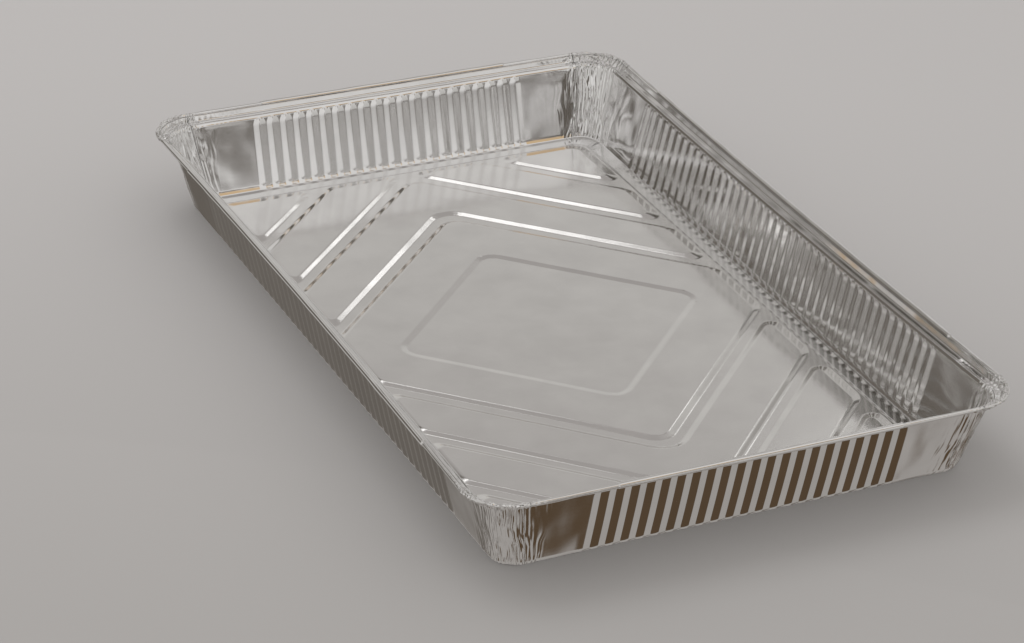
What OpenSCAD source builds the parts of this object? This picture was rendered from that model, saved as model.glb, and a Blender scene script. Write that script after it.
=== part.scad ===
// Traybake tin, pressed from one sheet of aluminium foil.
// X runs along the tin, with the front at +X. Y runs across it, with the right side at +Y.
// The origin is on the surface that the tin stands on, under its centre.

/* [Tin] */
// Length over the rolled edge
tin_length = 322; // [305:1:340]
// Width over the rolled edge
tin_width = 202; // [190:1:215]
// Height from the foot to the top of the rolled edge
tin_height = 32; // [26:0.5:42]
// Thickness of the foil
foil = 0.1; // [0.08:0.01:0.16]
// Outer corner radius of the rolled edge
rim_corner_r = 18; // [16:0.5:22]

/* [Rim] */
// Outer radius of the rolled edge
bead_r = 1.15; // [0.9:0.05:1.5]
// Thickness of the rolled layers
bead_wall = 0.2; // [0.15:0.01:0.3]
// Angle left open under the roll, where the collar enters it
bead_gap = 35; // [20:1:60]
// Height of the collar, from the ledge to the middle of the roll
collar_height = 2.45; // [1.8:0.05:3.5]
// How far the collar leans outwards over its height
collar_lean = 0.6; // [0.3:0.05:1]
// Radius of the fold between the collar and the ledge
collar_fold = 0.4; // [0.3:0.05:0.6]
// Width of the flat ledge, from the collar to the wall
ledge_width = 2.3; // [1.8:0.1:3.5]

/* [Walls] */
// Width of the shoulder between the ledge and the wall
shoulder_run = 0.8; // [0.5:0.05:1.2]
// Height of the shoulder between the ledge and the wall
shoulder_drop = 0.9; // [0.6:0.05:1.4]
// How far the foot of the wall lies inside its top
wall_lean = 7.2; // [5:0.1:9]
// Corner radius at the foot of the wall
foot_corner_r = 9; // [8:0.5:11]

/* [Flutes] */
// Distance from one flute to the next
flute_pitch = 5.5; // [4.5:0.1:7]
// Depth of a flute, from its groove to its crest
flute_depth = 0.45; // [0.3:0.05:0.8]
// Length over which a flute rises from its pointed tip
flute_tip = 3; // [2:0.1:5]
// Plain length at each end of a long side
long_plain = 48.2; // [42:0.1:60]
// Plain length at each end of a short side
short_plain = 43.2; // [38:0.1:55]

/* [Corner pleats] */
// Number of pleats round each corner
pleats = 9; // [5:1:12]
// Depth of a pleat
pleat_depth = 0.45; // [0.2:0.05:0.6]

/* [Foot] */
// Height of the fold between the wall and the foot
fold_height = 1.6; // [1:0.1:2.5]
// Width of the fold between the wall and the foot
fold_run = 1; // [0.6:0.1:1.6]
// Width of the foot that the tin stands on
foot_width = 6; // [4.5:0.1:7]
// Height of the floor above the foot
floor_rise = 0.7; // [0.4:0.05:1]
// Width of the slope between the foot and the floor
floor_slope = 1.4; // [1:0.1:2]
// Corner radius of the floor
floor_corner_r = 4.5; // [4:0.1:6]

/* [Base panels] */
// Height of the raised panels above the floor
panel_rise = 0.7; // [0.4:0.05:1]
// Gap between the edge of the floor and the panels
panel_margin = 0.7; // [0.5:0.1:1.5]
// Width of the slope on the sides of the panels that face a wall
edge_slope = 3.8; // [2.5:0.1:4.5]
// Width of the slopes along the diagonal channels
channel_slope = 2.2; // [1.5:0.1:2.6]
// Width of the flat bottom of the diagonal channels
channel_floor = 3.6; // [2.5:0.1:4.5]
// Distance between the channels, along the tin
channel_pitch = 37.3; // [34:0.1:39]
// Distance from the end of the panels to the point of the third channel
point_margin = 3.3; // [3:0.1:6]
// Rounding of the sharp ends of the panels
tip_r = 4; // [3.6:0.1:5]
// Rounding of the blunt corners of the panels
blunt_r = 10; // [7:0.5:12]
// Rounding of the points of the channels
point_r = 8; // [6:0.5:10]
// Rounding of the panels' corners at the corners of the tin
corner_panel_r = 6; // [4.5:0.5:8]

/* [Hidden] */

$fn = 64;
half_length = tin_length / 2;
half_width = tin_width / 2;
// Turns about Z that bring the +X side to each side of the tin
front_turn = 0;
right_turn = 90;
back_turn = 180;
left_turn = 270;
// Points on each rounded corner of a panel
round_steps = 5;

// Insets from the outside of the rolled edge, and heights above the ground, of the sheet's upper face
bead_z = tin_height - bead_r;
collar_inset = 2 * bead_r;
ledge_z = bead_z - collar_height;
ledge_outer = collar_inset + collar_lean + collar_fold;
ledge_inner = ledge_outer + ledge_width;
shoulder_inset = ledge_inner + shoulder_run;
shoulder_z = ledge_z - shoulder_drop;
wall_foot_inset = shoulder_inset + wall_lean;
foot_outer = wall_foot_inset + fold_run;
foot_inner = foot_outer + foot_width;
floor_inset = foot_inner + floor_slope;
floor_z = foil + floor_rise;

// Wall profile from the ledge down to the floor, as [inset, height, corner radius].
// Below the tips it has a groove line, on the nominal wall, and a crest line inside it.
wall_slope = [wall_lean, fold_height - shoulder_z];
wall_inward = [-wall_slope[1], wall_slope[0]] / norm(wall_slope);
tip_point = [shoulder_inset, shoulder_z] + wall_slope * flute_tip / norm(wall_slope);
ledge_corner_r = rim_corner_r - ledge_inner;
shoulder_corner_r = rim_corner_r - shoulder_inset;
tip_share = flute_tip / norm(wall_slope);
tip_corner_r = shoulder_corner_r + (foot_corner_r - shoulder_corner_r) * tip_share;
fold_corner_r = foot_corner_r - fold_run / 2;
toe_corner_r = floor_corner_r + floor_slope;
groove_rows = [
    [ledge_inner, ledge_z],
    [shoulder_inset, shoulder_z],
    tip_point,
    [wall_foot_inset, fold_height],
    [foot_outer, foil],
    [foot_inner, foil],
    [floor_inset, floor_z]
];
corner_radii = [
    ledge_corner_r, shoulder_corner_r, tip_corner_r,
    foot_corner_r, fold_corner_r, toe_corner_r, floor_corner_r
];

// Crest line of flutes or pleats of a given depth, which rise to the floor over the foot
function crest_rows(depth) = [
    groove_rows[0],
    groove_rows[1],
    groove_rows[2] + wall_inward * depth,
    groove_rows[3] + wall_inward * depth + [0, min(depth, floor_rise)],
    groove_rows[4] + [depth, min(depth, floor_rise)],
    groove_rows[5] + [0, min(depth, floor_rise)],
    groove_rows[6]
];

// Unit normal of a profile's stretch, on the outer side of the sheet
function outward(a, b) = [b[1] - a[1], a[0] - b[0]] / norm(b - a);

// Outer face of a sheet whose inner face is a profile, mitred at the folds and square at both ends
function outer_face(rows, start, end) = [
    for (i = [0 : len(rows) - 1])
        i == 0 ? rows[i] + start :
        i == len(rows) - 1 ? rows[i] + end :
        let (n1 = outward(rows[i - 1], rows[i]), n2 = outward(rows[i], rows[i + 1]))
        rows[i] + foil * (n1 + n2) / (1 + n1 * n2)
];

// A sheet's cross-section as one outline
function sheet_outline(rows, start, end) = let (face = outer_face(rows, start, end)) concat(
    rows, [for (i = [len(face) - 1 : -1 : 0]) face[i]]
);

// Faces of a closed sheet with two skins of rows x columns points
function grid_faces(rows, cols) = let (n = rows * cols) concat(
    [for (i = [0 : rows - 2]) for (j = [0 : cols - 2]) each [
        [i * cols + j, (i + 1) * cols + j, i * cols + j + 1],
        [i * cols + j + 1, (i + 1) * cols + j, (i + 1) * cols + j + 1],
        [n + i * cols + j, n + i * cols + j + 1, n + (i + 1) * cols + j],
        [n + i * cols + j + 1, n + (i + 1) * cols + j + 1, n + (i + 1) * cols + j]
    ]],
    [for (j = [0 : cols - 2]) each [
        [j, j + 1, n + j],
        [j + 1, n + j + 1, n + j],
        [(rows - 1) * cols + j, n + (rows - 1) * cols + j, (rows - 1) * cols + j + 1],
        [(rows - 1) * cols + j + 1, n + (rows - 1) * cols + j, n + (rows - 1) * cols + j + 1]
    ]],
    [for (i = [0 : rows - 2]) each [
        [i * cols, n + i * cols, (i + 1) * cols],
        [(i + 1) * cols, n + i * cols, n + (i + 1) * cols],
        [(i + 1) * cols - 1, (i + 2) * cols - 1, n + (i + 1) * cols - 1],
        [(i + 2) * cols - 1, n + (i + 2) * cols - 1, n + (i + 1) * cols - 1]
    ]]
);

down = [0, -foil];
flute_crest = crest_rows(flute_depth);
pleat_crest = crest_rows(pleat_depth);
groove_back = outer_face(groove_rows, down, down);
flute_back = outer_face(flute_crest, down, down);
pleat_back = outer_face(pleat_crest, down, down);
row_count = len(groove_rows);

// Turns a shape made for the +X side to the side that faces a given way
module on_side(turn, reach) {
    rotate([0, 0, turn])
        translate([reach, 0, 0])
            children();
}

// A wall from corner to corner, with as many flutes as fit between its plain ends
module wall(turn, reach, half_side, plain) {
    flutes = floor((2 * half_side - 2 * plain) / flute_pitch);
    cols = 2 * flutes + 3;
    function along(i, j) = let (stop = half_side - groove_rows[i][0] - corner_radii[i])
        j == 0 ? -stop :
        j == cols - 1 ? stop :
        (j - 1 - flutes) * flute_pitch / 2;
    function point(i, j, groove, crest) = let (p = j % 2 == 0 && j > 0 && j < cols - 1 ? crest[i] : groove[i])
        [-p[0], along(i, j), p[1]];
    points = concat(
        [for (i = [0 : row_count - 1]) for (j = [0 : cols - 1]) point(i, j, groove_rows, flute_crest)],
        [for (i = [0 : row_count - 1]) for (j = [0 : cols - 1]) point(i, j, groove_back, flute_back)]
    );
    on_side(turn, reach)
        polyhedron(points, grid_faces(row_count, cols));
}

// A pleated corner, drawn for the corner at +X and +Y
function corner_point(i, j, cols, rows) =
    let (
        centre = groove_rows[i][0] + corner_radii[i],
        r = centre - rows[i][0],
        a = 90 * j / (cols - 1)
    )
    [half_length - centre + r * cos(a), half_width - centre + r * sin(a), rows[i][1]];

module pleated_corner() {
    cols = 2 * pleats + 1;
    points = concat(
        [for (i = [0 : row_count - 1]) for (j = [0 : cols - 1])
            corner_point(i, j, cols, j % 2 == 0 ? groove_rows : pleat_crest)],
        [for (i = [0 : row_count - 1]) for (j = [0 : cols - 1])
            corner_point(i, j, cols, j % 2 == 0 ? groove_back : pleat_back)]
    );
    polyhedron(points, grid_faces(row_count, cols));
}

// Puts a shape drawn for the corner at +X and +Y in the corner at the given ends of the tin
module in_corner(front, right) {
    mirror([front ? 0 : 1, 0, 0])
        mirror([0, right ? 0 : 1, 0])
            children();
}

// Cross-section of the ledge and its collar, with X as the distance out from the rim's outside
module ledge_section() {
    rows = [
        [collar_inset, bead_z],
        [ledge_outer - collar_fold, ledge_z + collar_fold],
        [ledge_outer, ledge_z],
        [ledge_inner, ledge_z]
    ];
    outline = sheet_outline(rows, [-foil, 0], down);
    polygon([for (p = outline) [-p[0], p[1]]]);
}

// Cross-section of the rolled edge, open where the collar comes up into it
module bead_section() {
    reach = 2 * bead_r;
    translate([-bead_r, bead_z])
        difference() {
            circle(r = bead_r);
            circle(r = bead_r - bead_wall);
            polygon([[0, 0], [-reach, 0], [-reach, -reach * tan(bead_gap)]]);
        }
}

// Draws a rim section along one side, between the corner arcs
module rim_side(turn, reach, half_side) {
    on_side(turn, reach)
        translate([0, half_side - rim_corner_r, 0])
            rotate([90, 0, 0])
                linear_extrude(2 * (half_side - rim_corner_r))
                    children();
}

// Draws a rim section round the corner at +X and +Y
module rim_corner() {
    translate([half_length - rim_corner_r, half_width - rim_corner_r, 0])
        rotate_extrude(angle = 90)
            translate([rim_corner_r, 0])
                children();
}

// Half the length and half the width of the area that the panels fill
panel_x = half_length - floor_inset - panel_margin;
panel_y = half_width - floor_inset - panel_margin;
// A diagonal line's reach is where it meets the long axis. These are for the middles of the channels.
third_reach = panel_x - point_margin;
second_reach = third_reach - channel_pitch;
first_reach = second_reach - channel_pitch;
fourth_reach = third_reach + channel_pitch;
// From a channel's middle to the foot of its slope, measured along the tin
channel_half = channel_floor / sqrt(2);

// Direction of the edge that leaves a corner of an outline, and the corner's neighbours
function wrap(i, n) = (i + n) % n;
function unit(v) = v / norm(v);
function left_of(v) = [-v[1], v[0]];
function edge_way(points, i) = unit(points[wrap(i + 1, len(points))] - points[i]);

// Corners of an outline, drawn anticlockwise, after each edge moves in by its own distance
function inset_outline(points, insets) = [
    for (i = [0 : len(points) - 1])
        let (
            h = wrap(i - 1, len(points)),
            d1 = edge_way(points, h),
            d2 = edge_way(points, i),
            turn = d1[0] * d2[1] - d1[1] * d2[0]
        )
        points[i] + (d1 * insets[i] - d2 * insets[h]) * -1 / turn
];

// The same outline with its corners rounded, each by as many points
function rounded_outline(points, radii) = [
    for (i = [0 : len(points) - 1])
        let (
            d1 = edge_way(points, wrap(i - 1, len(points))),
            d2 = edge_way(points, i),
            turn = d1[0] * d2[1] - d1[1] * d2[0],
            sweep = sign(turn) * acos(d1 * d2),
            centre = points[i] + radii[i] * (d2 - d1) / abs(turn),
            first = -left_of(d1) * radii[i] * sign(turn)
        )
        for (k = [0 : round_steps])
            let (a = sweep * k / round_steps)
            centre + [first[0] * cos(a) - first[1] * sin(a), first[0] * sin(a) + first[1] * cos(a)]
];

// Corner radii at the top of a slope: smaller on corners that point out, larger on those that point in
function top_radii(points, radii) = [
    for (i = [0 : len(points) - 1])
        let (
            d1 = edge_way(points, wrap(i - 1, len(points))),
            d2 = edge_way(points, i),
            turn = d1[0] * d2[1] - d1[1] * d2[0]
        )
        turn > 0 ? max(radii[i] - channel_slope, radii[i] / 3) : radii[i] + channel_slope
];

// The sheet of a slope between two outlines with as many points each, at two heights
module slope_sheet(low, low_z, high, high_z) {
    n = len(low);
    points = concat(
        [for (p = low) [p[0], p[1], low_z]],
        [for (p = high) [p[0], p[1], high_z]],
        [for (p = high) [p[0], p[1], high_z - foil]],
        [for (p = low) [p[0], p[1], low_z - foil]]
    );
    polyhedron(points, [for (k = [0 : 3]) for (i = [0 : n - 1])
        [k * n + i, wrap(k + 1, 4) * n + i, wrap(k + 1, 4) * n + wrap(i + 1, n), k * n + wrap(i + 1, n)]]);
}

// A panel's corners, the slope of each side and the radius of each corner
function foot_outline(panel) = rounded_outline(panel[0], panel[2]);
function top_outline(panel) = rounded_outline(
    inset_outline(panel[0], panel[1]), top_radii(panel[0], panel[2])
);

// The middle panel: six sides, round a sunk diamond
middle_reach = second_reach - channel_half;
middle_side = middle_reach - panel_y;
middle_panel = [
    [
        [middle_side, -panel_y], [middle_reach, 0], [middle_side, panel_y],
        [-middle_side, panel_y], [-middle_reach, 0], [-middle_side, -panel_y]
    ],
    [channel_slope, channel_slope, edge_slope, channel_slope, channel_slope, edge_slope],
    [blunt_r, point_r, blunt_r, blunt_r, point_r, blunt_r]
];

// The sunk diamond, at the floor and at the panel's top
sunk_reach = first_reach - channel_slope / sqrt(2);
diamond = [[0, -sunk_reach], [sunk_reach, 0], [0, sunk_reach], [-sunk_reach, 0]];
diamond_low = rounded_outline(diamond, [for (p = diamond) point_r - channel_slope]);
diamond_outer = inset_outline(diamond, [for (p = diamond) -channel_slope]);
diamond_high = rounded_outline(diamond_outer, [for (p = diamond) point_r]);

// A chevron between the second and third channels, at the front of the tin
chevron_outer = third_reach - channel_half;
chevron_inner = second_reach + channel_half;
chevron_panel = [
    [
        [chevron_outer - panel_y, -panel_y], [chevron_outer, 0], [chevron_outer - panel_y, panel_y],
        [chevron_inner - panel_y, panel_y], [chevron_inner, 0], [chevron_inner - panel_y, -panel_y]
    ],
    [channel_slope, channel_slope, edge_slope, channel_slope, channel_slope, edge_slope],
    [blunt_r, point_r, blunt_r, tip_r, point_r, tip_r]
];

// The panel between the third and fourth channels, for the corner at +X and +Y
band_inner = third_reach + channel_half;
band_outer = fourth_reach - channel_half;
band_panel = [
    [
        [panel_x, band_inner - panel_x], [panel_x, band_outer - panel_x],
        [band_outer - panel_y, panel_y], [band_inner - panel_y, panel_y]
    ],
    [edge_slope, channel_slope, edge_slope, channel_slope],
    [tip_r, blunt_r, blunt_r, tip_r]
];

// The panel beyond the fourth channel, in the same corner
corner_inner = fourth_reach + channel_half;
corner_panel = [
    [[panel_x, corner_inner - panel_x], [panel_x, panel_y], [corner_inner - panel_y, panel_y]],
    [edge_slope, edge_slope, channel_slope],
    [tip_r, corner_panel_r, tip_r]
];

// The sheet of a panel: its slopes and its flat top
module panel_sheet(panel) {
    slope_sheet(foot_outline(panel), floor_z, top_outline(panel), floor_z + panel_rise);
    translate([0, 0, floor_z + panel_rise - foil])
        linear_extrude(foil)
            polygon(top_outline(panel));
}

module middle_sheet() {
    slope_sheet(foot_outline(middle_panel), floor_z, top_outline(middle_panel), floor_z + panel_rise);
    slope_sheet(diamond_high, floor_z + panel_rise, diamond_low, floor_z);
    translate([0, 0, floor_z + panel_rise - foil])
        linear_extrude(foil)
            difference() {
                polygon(top_outline(middle_panel));
                polygon(diamond_high);
            }
}

// Outline of the floor, with the same corner points as the pleated corners
module floor_outline() {
    cols = 2 * pleats + 1;
    corner_x = half_length - floor_inset - floor_corner_r;
    corner_y = half_width - floor_inset - floor_corner_r;
    signs = [[1, 1], [-1, 1], [-1, -1], [1, -1]];
    polygon([
        for (q = [0 : 3]) for (j = [0 : cols - 1])
            let (
                a = 90 * (q + j / (cols - 1)),
                x = signs[q][0] * corner_x + floor_corner_r * cos(a),
                y = signs[q][1] * corner_y + floor_corner_r * sin(a)
            )
            [x, y]
    ]);
}

// The floor between the panels
module floor_sheet() {
    difference() {
        floor_outline();
        difference() {
            polygon(foot_outline(middle_panel));
            polygon(diamond_low);
        }
        for (front = [true, false]) {
            in_corner(front, true)
                polygon(foot_outline(chevron_panel));
            for (right = [true, false])
                in_corner(front, right) {
                    polygon(foot_outline(band_panel));
                    polygon(foot_outline(corner_panel));
                }
        }
    }
}

module base_panel() {
    color("gainsboro") {
        translate([0, 0, floor_z - foil])
            linear_extrude(foil)
                floor_sheet();
        middle_sheet();
        for (front = [true, false]) {
            in_corner(front, true)
                panel_sheet(chevron_panel);
            for (right = [true, false])
                in_corner(front, right) {
                    panel_sheet(band_panel);
                    panel_sheet(corner_panel);
                }
        }
    }
}

module wall_front() {
    color("silver")
        wall(front_turn, half_length, half_width, short_plain);
}

module wall_back() {
    color("silver")
        wall(back_turn, half_length, half_width, short_plain);
}

module wall_left() {
    color("silver")
        wall(left_turn, half_width, half_length, long_plain);
}

module wall_right() {
    color("silver")
        wall(right_turn, half_width, half_length, long_plain);
}

module wall_corner(front, right) {
    color("lightgray")
        in_corner(front, right)
            pleated_corner();
}

module ledge_side(turn, reach, half_side) {
    color("lightgray")
        rim_side(turn, reach, half_side)
            ledge_section();
}

module ledge_corner(front, right) {
    color("silver")
        in_corner(front, right)
            rim_corner()
                ledge_section();
}

module bead_side(turn, reach, half_side) {
    color("gainsboro")
        rim_side(turn, reach, half_side)
            bead_section();
}

module bead_corner(front, right) {
    color("lightgray")
        in_corner(front, right)
            rim_corner()
                bead_section();
}

base_panel();
wall_front();
wall_back();
wall_left();
wall_right();
wall_corner(true, false);  // corner_front_left
wall_corner(true, true);  // corner_front_right
wall_corner(false, false);  // corner_back_left
wall_corner(false, true);  // corner_back_right
ledge_side(front_turn, half_length, half_width);  // ledge_front
ledge_side(back_turn, half_length, half_width);  // ledge_back
ledge_side(left_turn, half_width, half_length);  // ledge_left
ledge_side(right_turn, half_width, half_length);  // ledge_right
ledge_corner(true, false);  // ledge_corner_front_left
ledge_corner(true, true);  // ledge_corner_front_right
ledge_corner(false, false);  // ledge_corner_back_left
ledge_corner(false, true);  // ledge_corner_back_right
bead_side(front_turn, half_length, half_width);  // bead_front
bead_side(back_turn, half_length, half_width);  // bead_back
bead_side(left_turn, half_width, half_length);  // bead_left
bead_side(right_turn, half_width, half_length);  // bead_right
bead_corner(true, false);  // bead_corner_front_left
bead_corner(true, true);  // bead_corner_front_right
bead_corner(false, false);  // bead_corner_back_left
bead_corner(false, true);  // bead_corner_back_right
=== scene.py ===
"""Traybake tin, pressed from one sheet of foil: the looks of its regions, and a small studio round them."""
import math

import bpy
import numpy as np
from bpy.props import FloatProperty, FloatVectorProperty, IntProperty, PointerProperty
from mathutils import Matrix, Vector


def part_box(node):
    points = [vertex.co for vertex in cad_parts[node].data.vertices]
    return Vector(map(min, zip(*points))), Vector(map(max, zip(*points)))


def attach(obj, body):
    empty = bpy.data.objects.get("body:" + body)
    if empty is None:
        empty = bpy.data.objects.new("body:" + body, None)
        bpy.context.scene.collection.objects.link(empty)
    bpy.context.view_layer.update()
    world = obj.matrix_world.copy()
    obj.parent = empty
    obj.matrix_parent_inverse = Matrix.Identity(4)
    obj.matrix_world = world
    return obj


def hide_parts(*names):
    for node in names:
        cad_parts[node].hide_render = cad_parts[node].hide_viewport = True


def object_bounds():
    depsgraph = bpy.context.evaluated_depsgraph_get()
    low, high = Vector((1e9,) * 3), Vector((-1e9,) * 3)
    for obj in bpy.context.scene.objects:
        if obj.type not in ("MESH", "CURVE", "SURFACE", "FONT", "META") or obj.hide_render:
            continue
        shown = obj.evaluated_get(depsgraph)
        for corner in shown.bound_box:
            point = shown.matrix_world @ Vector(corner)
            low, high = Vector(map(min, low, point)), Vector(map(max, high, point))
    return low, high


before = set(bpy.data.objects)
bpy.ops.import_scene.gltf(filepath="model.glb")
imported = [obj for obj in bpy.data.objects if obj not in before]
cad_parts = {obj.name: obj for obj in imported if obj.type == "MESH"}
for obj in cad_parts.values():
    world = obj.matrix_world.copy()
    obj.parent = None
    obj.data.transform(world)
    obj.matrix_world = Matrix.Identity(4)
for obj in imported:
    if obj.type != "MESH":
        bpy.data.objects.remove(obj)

bl_info = {
    "name": "Traybake Tin",
    "version": (1, 0, 0),
    "blender": (4, 5, 0),
    "location": "View3D > Sidebar > Tin",
    "description": "Builds a pressed foil traybake tin over its packed construction",
    "category": "Add Mesh",
}

CAD_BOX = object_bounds()
TIN_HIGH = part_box("bead_corner_front_right")[1]
RIM_CORNER = TIN_HIGH.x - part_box("bead_corner_front_right")[0].x
SIDES = ("front", "right", "back", "left")
CORNERS = ("front_right", "back_right", "back_left", "front_left")
MM = 0.001

# Distances between the points of the meshes
CELL = 0.55 * MM
PLAIN_CELL = 0.36 * MM
CORNER_CELL = 0.26 * MM
# Columns of one flute, as shares of its pitch, closest at its crest and grooves
FLUTE_CUTS = (0.0, 0.03, 0.09, 0.17, 0.25, 0.33, 0.41, 0.47, 0.5, 0.53, 0.59, 0.67, 0.75, 0.83, 0.91, 0.97)
# Stretch over which the noise at the band's end blends into that at its start
CLOSING = 8 * MM
# Random values along each side of the noise's square
LATTICE = 256
# Strength of the room's light on rough surfaces
ROOM_LIGHT = 1.5


def distance(name, description, default):
    """A length that a user can set."""
    return FloatProperty(
        name=name, description=description, default=default, min=0.0, precision=5,
        unit="LENGTH", subtype="DISTANCE",
    )


def share(name, description, default):
    """A plain number from 0 to 1 that a user can set."""
    return FloatProperty(name=name, description=description, default=default, min=0.0, max=1.0)


def colour(name, description, default):
    """A colour that a user can set."""
    return FloatVectorProperty(
        name=name, description=description, default=default, min=0.0, max=1.0, subtype="COLOR"
    )


def camera_turn(name, description, degrees):
    """An angle that a user can set, with its default in degrees."""
    return FloatProperty(
        name=name, description=description, default=math.radians(degrees), unit="ROTATION", subtype="ANGLE"
    )


class TinShape(bpy.types.PropertyGroup):
    """Sizes of the pressed sheet, the same as the construction's."""

    length: distance("Length", "Length over the rolled edge", 2 * TIN_HIGH.x)
    width: distance("Width", "Width over the rolled edge", 2 * TIN_HIGH.y)
    height: distance("Height", "Height from the foot to the top of the rolled edge", TIN_HIGH.z)
    rim_corner: distance("Rim corner", "Outer corner radius of the rolled edge", RIM_CORNER)
    foil: distance("Foil", "Thickness of the foil", 0.0001)
    bead: distance("Bead", "Outer radius of the rolled edge", 0.00115)
    bead_wall: distance("Bead wall", "Thickness of the rolled layers", 0.0002)
    collar_height: distance("Collar height", "From the ledge to the middle of the roll", 0.00245)
    collar_lean: distance("Collar lean", "How far the collar leans outwards", 0.0006)
    collar_fold: distance("Collar fold", "Fold between the collar and the ledge", 0.0004)
    ledge_width: distance("Ledge width", "Width of the flat ledge", 0.0023)
    shoulder_run: distance("Shoulder run", "Width of the shoulder below the ledge", 0.0008)
    shoulder_drop: distance("Shoulder drop", "Height of the shoulder below the ledge", 0.0009)
    wall_lean: distance("Wall lean", "How far the foot of the wall lies inside its top", 0.0072)
    foot_corner: distance("Foot corner", "Corner radius at the foot of the wall", 0.009)
    flute_pitch: distance("Flute pitch", "Distance from one flute to the next", 0.0055)
    flute_depth: distance("Flute depth", "Depth of a flute from groove to crest", 0.00045)
    flute_tip: distance("Flute tip", "Length over which a flute rises from its point", 0.003)
    long_plain: distance("Long plain", "Plain length at each end of a long side", 0.0482)
    short_plain: distance("Short plain", "Plain length at each end of a short side", 0.0432)
    fold_height: distance("Fold height", "Height of the fold above the foot", 0.0016)
    fold_run: distance("Fold run", "Width of the fold above the foot", 0.001)
    foot_width: distance("Foot width", "Width of the foot that the tin stands on", 0.006)
    floor_slope: distance("Floor slope", "Width of the slope between the foot and the floor", 0.0014)
    floor_rise: distance("Floor rise", "Height of the floor above the foot", 0.0007)
    floor_corner: distance("Floor corner", "Corner radius of the floor", 0.0045)
    panel_rise: distance("Panel rise", "Height of the raised panels above the floor", 0.0007)
    panel_margin: distance("Panel margin", "Gap between the edge of the floor and the panels", 0.0007)
    edge_slope: distance("Edge slope", "Slope on the sides of the panels that face a wall", 0.0038)
    channel_slope: distance("Channel slope", "Slopes along the diagonal channels", 0.0022)
    channel_floor: distance("Channel floor", "Flat bottom of the diagonal channels", 0.0036)
    channel_pitch: distance("Channel pitch", "Distance between the channels, along the tin", 0.0373)
    point_margin: distance("Point margin", "From the panels' end to the point of the third channel", 0.0033)
    sunk_share: share("Sunk share", "Depth of the sunk diamond as a share of the panels' rise", 0.5)
    tip_round: distance("Tip rounding", "Rounding of the sharp ends of the panels", 0.004)
    blunt_round: distance("Blunt rounding", "Rounding of the blunt corners of the panels", 0.01)
    point_round: distance("Point rounding", "Rounding of the points of the channels", 0.008)
    corner_round: distance("Corner rounding", "Rounding of the panels at the tin's corners", 0.006)


class TinWear(bpy.types.PropertyGroup):
    """Crinkles, pleats and dents that pressing and handling leave in foil."""

    seed: IntProperty(name="Seed", description="Changes every crinkle and dent", default=7, min=0)
    rim_crinkle: distance("Rim crinkle", "Height of the crinkles round the rim's corners", 0.00055)
    rim_ridge: distance("Rim ridge", "Distance between the crinkles round the rim's corners", 0.0018)
    pleat_depth: distance("Pleat depth", "Depth of the pleats in the wall corners", 0.00054)
    pleat_width: distance("Pleat width", "Distance between the pleats in the wall corners", 0.0027)
    wall_wave: distance("Wall wave", "Height of the soft waves on the plain parts of the walls", 0.00011)
    base_wave: distance("Base wave", "Height of the soft waves on the base", 0.00007)
    rim_wave: distance("Rim wave", "Height of the waves along the ledge and the rolled edge", 0.00008)
    side_bow: distance("Side bow", "How far the long sides have bowed inwards", 0.002)
    wall_hollow: distance("Wall hollow", "How far the short walls curve outwards at mid height", 0.0002)


class TinFinish(bpy.types.PropertyGroup):
    """Colours and gloss of the foil."""

    base_foil: colour("Base foil", "Colour of the satin base", (0.87, 0.862, 0.85))
    wall_foil: colour("Wall foil", "Colour of the drawn walls", (0.88, 0.875, 0.868))
    corner_foil: colour("Corner foil", "Colour of the crumpled corners", (0.9, 0.896, 0.89))
    rim_foil: colour("Rim foil", "Colour of the ledge and collar", (0.88, 0.875, 0.868))
    bead_foil: colour("Bead foil", "Colour of the rolled edge", (0.88, 0.874, 0.865))
    shade: share("Shade", "How much darker the foil's dull patches are", 0.06)
    base_roughness: share("Base roughness", "Roughness of the satin base", 0.125)
    wall_roughness: share("Wall roughness", "Roughness of the walls", 0.09)
    corner_roughness: share("Corner roughness", "Roughness of the crumpled corners", 0.08)
    rim_roughness: share("Rim roughness", "Roughness of the rim", 0.09)
    patchiness: share("Patchiness", "How much the roughness varies", 0.05)
    grain_depth: distance("Grain depth", "Depth of the rolling grain", 0.0000035)


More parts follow.
